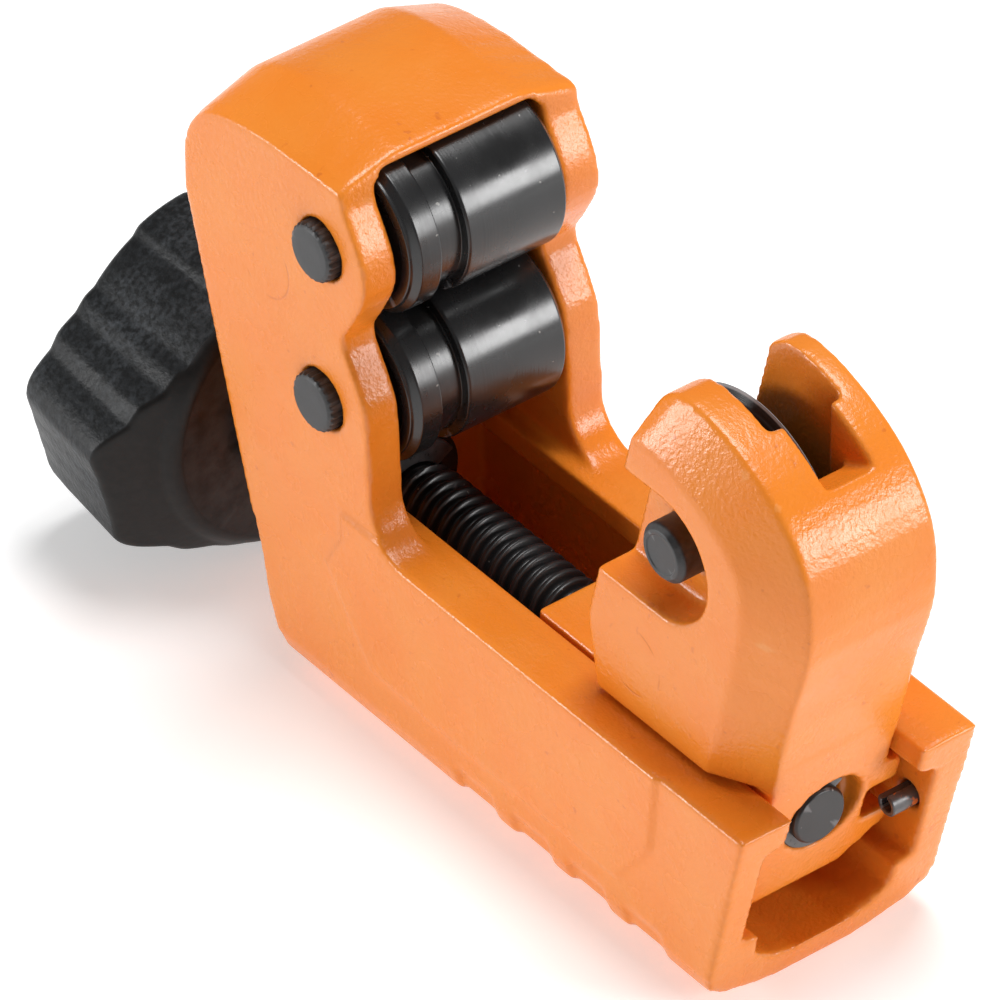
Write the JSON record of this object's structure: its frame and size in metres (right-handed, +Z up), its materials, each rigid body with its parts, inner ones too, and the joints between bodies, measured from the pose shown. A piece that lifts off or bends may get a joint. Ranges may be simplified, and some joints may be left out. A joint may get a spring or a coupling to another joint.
{
  "type": "pipe cutter",
  "caption": "Small screw-feed pipe cutter: a channel-shaped frame with two rollers, a slider that carries the cutting wheel, and a winged knob on the feed screw.",
  "frame": {"origin": "on the flat underside of the channel, straight below the roller axes, in the middle of the width", "axes": "+X along the feed screw to the open front end, +Y across, away from the side with the raised panel, +Z up"},
  "size_m": [0.0833, 0.0356, 0.0534],
  "materials": {
    "orange_coat": "semi-gloss orange powder coat on die-cast metal",
    "black_oxide": "polished black oxide steel",
    "pin_steel": "dark matte steel",
    "wheel_steel": "turned dark tool steel with a bright edge",
    "spring_steel": "blackened spring steel",
    "black_plastic": "textured moulded plastic"
  },
  "bodies": {
    "frame": {"frame_body": "orange_coat", "roller_pin_upper": "pin_steel", "roller_pin_lower": "pin_steel", "slide_stop_pin": "spring_steel"},
    "screw": {"feed_screw": "black_oxide", "knob": "black_plastic", "knob_thrust_washer": "pin_steel", "inner_thrust_washer": "pin_steel", "frame_retaining_clip": "spring_steel", "screw_end_clip": "spring_steel"},
    "slider": {"slider_block": "orange_coat", "wheel_axle": "pin_steel"},
    "wheel": {"cutter_wheel": "wheel_steel"},
    "upper_roller": {"roller_upper": "black_oxide"},
    "lower_roller": {"roller_lower": "black_oxide"}
  },
  "joints": [
    {"name": "knob_turn", "type": "hinge", "parent": "frame", "child": "screw", "pos_m": [0, 0, 0.01405], "axis": [1, 0, 0], "range_deg": [0, 5940.1]},
    {"name": "slider_feed", "type": "slide", "parent": "frame", "child": "slider", "axis": [-1, 0, 0], "range_m": [0, 0.02096]},
    {"name": "wheel_spin", "type": "hinge", "parent": "slider", "child": "wheel", "pos_m": [0.0373, 0, 0.0375], "axis": [0, 1, 0], "continuous": true},
    {"name": "upper_roller_spin", "type": "hinge", "parent": "frame", "child": "upper_roller", "pos_m": [0, 0, 0.0446], "axis": [0, 1, 0], "continuous": true},
    {"name": "lower_roller_spin", "type": "hinge", "parent": "frame", "child": "lower_roller", "pos_m": [0, 0, 0.0303], "axis": [0, 1, 0], "continuous": true}
  ],
  "couplings": [
    {"joint": "knob_turn", "follows": "slider_feed", "rad_per_m": 4947.4}
  ]
}
